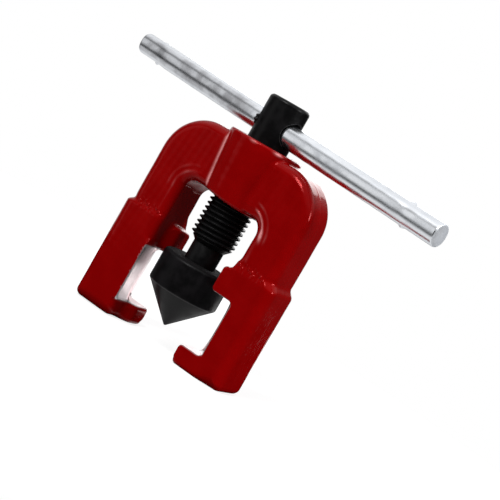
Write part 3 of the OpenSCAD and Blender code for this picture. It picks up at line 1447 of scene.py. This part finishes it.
@dataclass
class FlaringCone:
    """The swivelling cone, turned from solid and bored for the pilot."""

    point_z: float
    top_z: float
    radius: float
    ball: Race
    groove: Race
    half_angle: float = math.radians(45)
    tip_flat: float = 0.1
    tip_blunt: float = 0.3
    shoulder: float = 1.3
    rim: float = 0.18
    bore_r: float = 4.9
    bore_floor: float = 18.2
    bore_edge: float = 0.2
    # The lighter grey line round the rim, and the matt top that wears less
    rim_width: float = 0.2
    rim_bend: float = 2.6
    top_fade: float = 0.6
    top_wear: float = 0.3
    top_slope: Pair = (0.35, 0.75)
    cell: float = 0.25

    def field(self, x: Array, y: Array, z: Array) -> Array:
        """Gives the cone, its body and its bore.

        Args:
            x: Distance towards the right.
            y: Distance towards the back.
            z: Height.

        Returns:
            Distances to the cone.
        """
        reach = np.hypot(x, y)
        lean = self.half_angle
        face = reach * math.cos(lean) - (z - self.point_z) * math.sin(lean)
        solid = round_meet(reach - self.radius, face, self.rim)
        solid = round_meet(solid, self.point_z + self.tip_flat - z, self.tip_blunt)
        solid = round_meet(solid, z - self.top_z, self.shoulder)
        bore = np.maximum(reach - self.bore_r, self.bore_floor - z)
        bore = np.minimum(bore, np.minimum(self.ball.field(reach, z), self.groove.field(reach, z)))
        return round_meet(solid, -bore, self.bore_edge)

    def build(self, material: Material) -> Object:
        """Makes the cone.

        Args:
            material: Its finish.

        Returns:
            The finished piece.
        """
        room = 0.8
        wide = self.radius + room
        low, high = (-wide, -wide, self.point_z - room), (wide, wide, self.top_z + room)
        skin = SurfaceNet(self.field, low, high, self.cell).skin()
        reach, z = np.hypot(skin.points[:, 0], skin.points[:, 1]), skin.points[:, 2]
        rim_z = z[reach > self.radius - 0.1].min()
        rim = hump(z - rim_z + 0.1, self.rim_width) * (reach > self.radius - 0.5)
        shoulder = rise(z, (-self.top_fade, 0), self.top_z - self.shoulder)
        bend = bend_of(skin) * (1 - (1 - self.top_wear) * shoulder)
        marks = {
            "bend": np.maximum(bend, self.rim_bend * rim),
            "matt": shoulder * rise(skin.normals[:, 2], self.top_slope),
        }
        return object_from("flaring_cone_turned", [skin], material, marks)


@dataclass
class CrossBar:
    """The plated cross bar, with a pair of ears squeezed out of it near each end."""

    centre: Vector
    way: Vector
    length: float
    radius: float = 3.5
    end_edge: float = 0.45
    # The near and far ears: how far in from the ends, their sizes, stretch and how deep they sit
    ear_insets: Pair = (11.5, 8.0)
    ear_sizes: Pair = (0.46, 0.3)
    ear_stretch: Pair = (1.2, 1.3)
    ear_sunk: float = 0.15
    ear_slope: float = 0.75
    ear_fillet: float = 0.45
    # The dents that the squeezing left beside the near ears
    dent: float = 0.2
    dent_length: float = 2.2
    dent_depth: float = math.sqrt(2)
    # The far end, which is slightly necked and pinched, starting beside its ears
    necked: Pair = (5.2, -1.2)
    neck: float = 0.16
    neck_lift: float = 0.14
    pinch: float = 0.3
    pinch_room: float = 0.1
    pinch_edge: float = 0.9
    wave: float = 0.012
    # Where the plating is coloured a darker grey, along the bar and by the way that it faces
    far_grey_share: float = 0.85
    far_grey_along: Pair = (-4, -18)
    far_grey_slope: Pair = (0.45, 0.8)
    end_slope: Pair = (0.4, 0.8)
    cell: float = 0.3

    def ear(self, s: Array, y: Array, z: Array, size: float) -> Array:
        """Gives one pair of ears of a size, above and below the bar, at s = 0."""
        high = np.abs(z) - self.radius + self.ear_sunk
        long, wide = s / self.ear_stretch[0], y / self.ear_stretch[1]
        return np.sqrt(long**2 + wide**2 + high**2) * self.ear_slope - size

    def field(self, s: Array, y: Array, z: Array) -> Array:
        """Gives the bar along its own X axis, from its middle.

        Args:
            s: Distance along the bar.
            y: Distance across it, towards the back.
            z: Height above its middle.

        Returns:
            Distances to the bar.
        """
        half = self.length / 2
        near, far = half - self.ear_insets[0], self.ear_insets[1] - half
        necked = rise(s, self.necked, far)
        rod = np.hypot(y, z - self.neck_lift * necked) - self.radius + self.neck * necked
        side = np.abs(y) - self.radius
        rod = rod + self.dent * hump(s - near, self.dent_length) * hump(side, self.dent_depth)
        flat = side - self.pinch_room + (self.pinch + self.pinch_room) * necked
        rod = round_meet(rod, flat, self.pinch_edge)
        ears = [self.ear(s - at, y, z, size) for at, size in zip((near, far), self.ear_sizes)]
        rod = round_join(rod, np.minimum(*ears), self.ear_fillet)
        rod = rod + self.wave * np.sin(s * 0.9) * np.sin(s * 0.37 + z)
        return round_meet(rod, np.abs(s) - half, self.end_edge)

    def build(self, material: Material) -> Object:
        """Makes the bar and lays it in its hole.

        Args:
            material: Its finish.

        Returns:
            The finished piece.
        """
        room, ear_room = 0.9, 1.7
        half, reach = self.length / 2 + room, self.radius + ear_room
        low, high = (-half, -reach, -reach), (half, reach, reach)
        skin = SurfaceNet(self.field, low, high, self.cell).skin()
        across = Vector((0, 0, 1)).cross(self.way).normalized()
        up = self.way.cross(across)
        turn = Matrix((self.way, across, up)).transposed().to_4x4()
        laid = skin.moved(Matrix.Translation(self.centre) @ turn)
        along, facing = skin.points[:, 0], np.abs(skin.normals)
        # A darker grey on the far half, on the faces that look front and back
        far_grey = rise(along, self.far_grey_along) * rise(facing[:, 1], self.far_grey_slope)
        marks = {
            "end": rise(facing[:, 0], self.end_slope),
            "far_grey": self.far_grey_share * far_grey,
        }
        return object_from("t_bar_plated", [laid], material, marks)


# Studio


def direction(azimuth: float, elevation: float) -> Vector:
    """Points from the object towards a viewer at an azimuth and elevation in degrees."""
    a, e = math.radians(azimuth), math.radians(elevation)
    return Vector((math.sin(a) * math.cos(e), -math.cos(a) * math.cos(e), math.sin(e)))


@dataclass(frozen=True)
class Lamp:
    """A soft rectangular lamp: where it stands, its size and how bright its face is."""

    name: str
    azimuth: float
    elevation: float
    distance: float
    width: float
    height: float
    radiance: float

    def build(self, target: Vector) -> None:
        """Sets the lamp up.

        Args:
            target: The point that it is aimed at.
        """
        data = bpy.data.lights.new(self.name, "AREA")
        data.shape = "RECTANGLE"
        data.size, data.size_y = self.width, self.height
        data.energy = self.radiance * (self.width * self.height) * math.pi
        lamp = scene_object(self.name, data)
        lamp.location = target + direction(self.azimuth, self.elevation) * self.distance
        lamp.rotation_euler = (target - lamp.location).to_track_quat("-Z", "Y").to_euler()


@dataclass(frozen=True)
class Card:
    """A pale card that only glossy things mirror: where it stands, its soft edge, its level."""

    azimuth: float
    elevation: float
    edge: Pair
    level: float


@dataclass
class Studio:
    """The camera, lamps, floor and surroundings, in metres and degrees."""

    aim: Vector
    azimuth: float = 28.65
    elevation: float = 4.55
    roll: float = 29.9
    distance: float = 0.42
    lens: float = 104.9
    shift: Pair = (0.0556, -0.0522)
    clip: Pair = (0.01, 20)
    floor_radius: float = 0.19
    floor_sides: int = 96
    paper: Colour = (0.4, 0.4, 0.4, 1)
    paper_glow: float = 0.76
    # The glow that a steep look mirrors in the floor, with a painted shadow where it leaves out the
    # soles' own places
    under_glow: Pair = (0.78, 0)
    under_graze: Pair = (0.45, 0.7)
    sole_x: float = 0.0235
    sole_beside: Pair = (0.009, 0.012)
    sole_behind: Pair = (0.012, 0.016)
    # The slanting bright strip behind the tool that a low look mirrors
    strip_glow: Pair = (2.2, 0)
    strip_slope: float = 0.555
    strip_offset: float = 0.0295
    strip_half: Pair = (0.0235, 0.0255)
    strip_start: Pair = (0.027, 0.034)
    strip_end: Pair = (0.165, 0.15)
    strip_graze: Pair = (0.7, 0.76)
    # The surroundings: how bright they light, and what glossy things mirror by height
    sky: float = 0.3
    horizon: float = 0.03
    overhead: Pair = (0.3, 0.75)
    underfoot: Pair = (-0.28, -0.5)
    cards: tuple[Card, ...] = (
        Card(-136, 8, (0.72, 0.88), 0.8),
        Card(-46, 6, (0.94, 0.982), 0.9),
    )
    softboxes: tuple[Lamp, ...] = (
        Lamp("front_softbox", -8, 44, 0.9, 0.28, 0.28, 21.3),
        Lamp("side_softbox", 92, 26, 0.8, 0.26, 0.24, 17.0),
        Lamp("back_softbox", -162, 20, 0.7, 0.42, 0.3, 2.2),
    )

    def camera(self) -> None:
        """Sets up the camera, rolled about its own line of sight."""
        data = bpy.data.cameras.new("camera")
        data.sensor_width = 36
        data.lens = self.lens
        data.shift_x, data.shift_y = self.shift
        data.clip_start, data.clip_end = self.clip
        made = scene_object("camera", data)
        back = direction(self.azimuth, self.elevation)
        made.location = self.aim + back * self.distance
        made.rotation_mode = "QUATERNION"
        roll = Matrix.Rotation(math.radians(self.roll), 3, "Z").to_quaternion()
        made.rotation_quaternion = (-back).to_track_quat("-Z", "Y") @ roll
        bpy.context.scene.camera = made

    def floor_glow(self, tree: Tree, place: Socket, graze: Socket) -> Socket:
        """Gives the glow that glossy things mirror in the floor.

        Args:
            tree: The floor's material.
            place: Its object coordinates.
            graze: How low the look at the floor is, from 0 to 1.

        Returns:
            The glow's strength.
        """
        x, y, _ = tree.split(place)
        # Painted shadow: the mirrored glow is left out round the soles' places
        beside = tree.absolute(tree.minus(tree.absolute(x), self.sole_x))
        behind = tree.range(tree.absolute(y), self.sole_behind)
        clear = tree.most(tree.range(beside, self.sole_beside), behind)
        under = tree.times(tree.range(graze, self.under_graze, self.under_glow), clear)
        slant = tree.plus(tree.minus(x, tree.times(y, self.strip_slope)), self.strip_offset)
        strip = tree.range(tree.absolute(slant), self.strip_half, self.strip_glow)
        for value, span in ((y, self.strip_start), (y, self.strip_end), (graze, self.strip_graze)):
            strip = tree.times(strip, tree.range(value, span))
        return tree.most(under, strip)

    def floor(self) -> None:
        """Lays a round white floor under the soles."""
        angles = [2 * math.pi * k / self.floor_sides for k in range(self.floor_sides)]
        radius = self.floor_radius
        rim = [(radius * math.cos(a), radius * math.sin(a), 0) for a in angles]
        mesh = bpy.data.meshes.new("floor")
        mesh.from_pydata(rim, [], [list(range(self.floor_sides))])
        material, tree, place = start_finish("floor_white")
        path = tree.add("ShaderNodeLightPath").outputs
        graze = tree.add("ShaderNodeLayerWeight", Blend=0.5).outputs["Facing"]
        mirrored = tree.times(path["Is Glossy Ray"], self.floor_glow(tree, place, graze))
        seen = tree.most(path["Is Camera Ray"], path["Is Transmission Ray"])
        seen = tree.most(tree.times(seen, self.paper_glow), mirrored)
        shade = tree.blend(path["Is Glossy Ray"], self.paper, BLACK)
        paper = tree.add("ShaderNodeBsdfDiffuse", Color=shade)
        glow = tree.add("ShaderNodeEmission", Color=WHITE, Strength=seen)
        both = tree.add("ShaderNodeAddShader", i0=paper.outputs[0], i1=glow.outputs[0])
        tree.link(both.outputs[0], tree.add("ShaderNodeOutputMaterial").inputs[0])
        mesh.materials.append(material)
        scene_object("floor", mesh)

    def surroundings(self) -> None:
        """Makes the white surroundings, whose glossy image darkens towards the horizon."""
        world = bpy.data.worlds.new("studio")
        bpy.context.scene.world = world
        world.use_nodes = True
        world.node_tree.nodes.clear()
        tree = Tree(world.node_tree)
        path = tree.add("ShaderNodeLightPath").outputs
        ray = tree.add("ShaderNodeTexCoord").outputs["Generated"]
        up = tree.split(ray)[2]
        light = tree.most(tree.range(up, self.overhead, (self.horizon, 1)), self.horizon)
        light = tree.most(light, tree.range(up, self.underfoot))
        for card in self.cards:
            way = direction(card.azimuth, card.elevation)
            near = tree.add("ShaderNodeVectorMath", {"operation": "DOT_PRODUCT"}, i0=ray, i1=way)
            shown = tree.range(near.outputs["Value"], card.edge, (0, card.level))
            light = tree.most(light, shown)
        seen = tree.most(path["Is Camera Ray"], path["Is Transmission Ray"])
        seen = tree.most(seen, tree.times(path["Is Glossy Ray"], light))
        plain = tree.minus(1.0, path["Is Glossy Ray"])
        level = tree.most(seen, tree.times(plain, self.sky))
        surface = tree.add("ShaderNodeBackground", Color=WHITE, Strength=level)
        tree.link(surface.outputs[0], tree.add("ShaderNodeOutputWorld").inputs[0])

    def build(self) -> None:
        """Sets up the whole studio."""
        bpy.context.scene.view_settings.view_transform = "Standard"
        self.camera()
        self.floor()
        self.surroundings()
        for lamp in self.softboxes:
            lamp.build(self.aim)


# The whole tool


class Body(Enum):
    """The bodies of the frame that the finished pieces ride on."""

    YOKE = "yoke"
    SCREW = "feed_screw"
    CONE = "flaring_cone"
    BAR = "t_bar"


def corners_mm(node: str) -> tuple[Vector, Vector]:
    """Returns a CAD node's low and high corners in millimetres."""
    low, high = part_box(node)
    return low / MM, high / MM


def bar_way() -> Vector:
    """Returns the direction in which the cross bar slides."""
    joint = next(j for j in frame["joints"] if j["child"] == Body.BAR.value)
    return Vector(joint["axis"]).normalized()


def races() -> tuple[Race, Race]:
    """Sizes the hollows that the ball and the wire ring run in.

    Returns:
        The ball's race and the ring's groove.
    """
    low, high = corners_mm("thrust_ball")
    ball = Race(0, (low.z + high.z) / 2, high.x + PLAY)
    low, high = corners_mm("retaining_ring")
    wire = (high.z - low.z) / 2
    return ball, Race(max(high.x, -low.x) - wire, (low.z + high.z) / 2, wire + PLAY)


def attach(piece: Object, body: Body, node: str) -> None:
    """Fixes a finished piece to its body in place of its CAD node.

    Args:
        piece: The finished piece.
        body: The body that it rides on.
        node: The CAD node that it stands for.
    """
    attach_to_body(piece, body.value)
    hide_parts(node)
    log.info("%s: %d faces, rides on %s", piece.name, len(piece.data.polygons), body.value)


def main() -> None:
    """Builds the studio and every finished piece."""
    logging.basicConfig(level=logging.INFO, format="%(name)s: %(message)s")
    effects = Effects.build()
    Studio(aim=Vector((0, 0, AIM_Z)) * MM).build()

    high = corners_mm("yoke")[1]
    yoke = Yoke(leg_x=high.x, boss_r=high.y, boss_top=high.z)
    attach(yoke.build(RedEnamel().build(effects)), Body.YOKE, "yoke")

    way = bar_way()
    low, high = corners_mm("t_bar")
    middle = (low + high) / 2
    bar_z = middle.z - middle.x / way.x * way.z
    length = (high.x - low.x - 2 * CrossBar.radius * math.sqrt(1 - way.x**2)) / way.x
    bar = CrossBar(centre=middle, way=way, length=length)
    plated = BrightSteel("bright_plate", turn=tuple(way.to_track_quat("X", "Z").to_euler()))
    attach(bar.build(plated.build(effects)), Body.BAR, "t_bar")

    ball, groove = races()
    low, high = corners_mm("feed_screw")
    screw = FeedScrew(
        low_z=low.z, top_z=high.z, bar_z=bar_z, bar_turn=math.atan2(way.y, way.x),
        crest_r=high.x, ball=ball, groove=groove,
    )
    oxide = BlackOxide("black_oxide").build(effects)
    attach(screw.build(oxide), Body.SCREW, "feed_screw")

    low, high = corners_mm("flaring_cone")
    cone = FlaringCone(point_z=low.z, top_z=high.z, radius=high.x, ball=ball, groove=groove)
    ground = BlackOxide("ground_oxide", light=(0.0062, 0.0053, 0.0062, 1)).build(effects)
    attach(cone.build(ground), Body.CONE, "flaring_cone")

    polished, drawn = BrightSteel("polished_ball", roughness=0.08), BrightSteel("drawn_wire")
    for node, finish in (("thrust_ball", polished), ("retaining_ring", drawn)):
        mesh = frame["nodes"][node].data
        mesh.materials.clear()
        mesh.materials.append(finish.build(effects))
        log.info("%s: kept from the frame", node)


if __name__ == "__main__":
    main()
